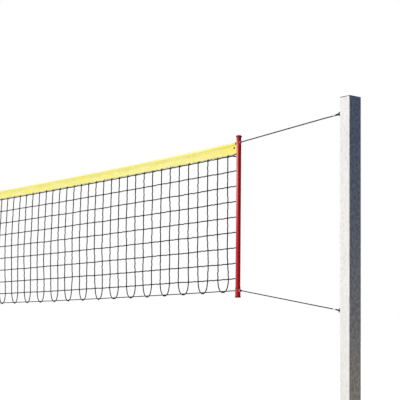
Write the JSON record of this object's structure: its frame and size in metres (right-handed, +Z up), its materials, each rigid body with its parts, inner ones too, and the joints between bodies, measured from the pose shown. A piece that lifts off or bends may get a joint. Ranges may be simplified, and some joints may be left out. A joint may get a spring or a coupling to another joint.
{
  "type": "volleyball net on poles",
  "caption": "Beach volleyball net with a yellow top tape, red side staves, tension ropes and two square galvanised posts in ground sleeves.",
  "frame": {"origin": "on the ground midway between the two posts, in the plane of the net", "axes": "+X along the net towards the post without the turnbuckle, +Y across the court, +Z up"},
  "size_m": [10.496, 0.112, 2.988],
  "materials": {
    "sleeve_steel": "hot-dip galvanised, dull",
    "galvanised_steel": "hot-dip galvanised with spangle",
    "cap_plastic": "moulded, matt",
    "zinc_fittings": "zinc plated",
    "red_gloss": "smooth gloss",
    "red_caps": "moulded, satin gloss",
    "white_bushes": "moulded, matt",
    "dark_rope": "laid rope, dull",
    "yellow_tape": "woven tape, dull",
    "eyelet_brass": "pressed, dull",
    "black_twine": "twisted twine, dull"
  },
  "bodies": {
    "ground_sleeves": {"right_ground_sleeve": "sleeve_steel", "left_ground_sleeve": "sleeve_steel"},
    "posts_and_net": {"right_post": "galvanised_steel", "left_post": "galvanised_steel", "right_post_cap": "cap_plastic", "left_post_cap": "cap_plastic", "right_top_hook": "zinc_fittings", "right_low_hook": "zinc_fittings", "left_top_hook": "zinc_fittings", "left_low_hook": "zinc_fittings", "hook_inserts": "zinc_fittings", "hook_washers": "zinc_fittings", "hook_lock_nuts": "zinc_fittings", "right_stave": "red_gloss", "left_stave": "red_gloss", "right_stave_caps": "red_caps", "left_stave_caps": "red_caps", "right_foot_sleeve": "red_caps", "left_foot_sleeve": "red_caps", "right_stave_bushes": "white_bushes", "left_stave_bushes": "white_bushes", "top_rope": "dark_rope", "bottom_rope": "dark_rope", "rope_thimbles": "zinc_fittings", "rope_ferrules": "zinc_fittings", "turnbuckle_hook_eye": "zinc_fittings", "turnbuckle_rope_eye": "zinc_fittings", "turnbuckle_nuts": "zinc_fittings", "net_tape": "yellow_tape", "tape_eyelets": "eyelet_brass", "net_mesh": "black_twine"},
    "turnbuckle": {"turnbuckle_body": "zinc_fittings"}
  },
  "joints": [
    {"name": "posts_lift", "type": "slide", "parent": "ground_sleeves", "child": "posts_and_net", "axis": [0, 0, 1], "range_m": [0, 0.4]},
    {"name": "turnbuckle_turn", "type": "hinge", "parent": "posts_and_net", "child": "turnbuckle", "pos_m": [-5.01228, 0, 2.48814], "axis": [0.9974, 0, -0.0714], "continuous": true}
  ]
}
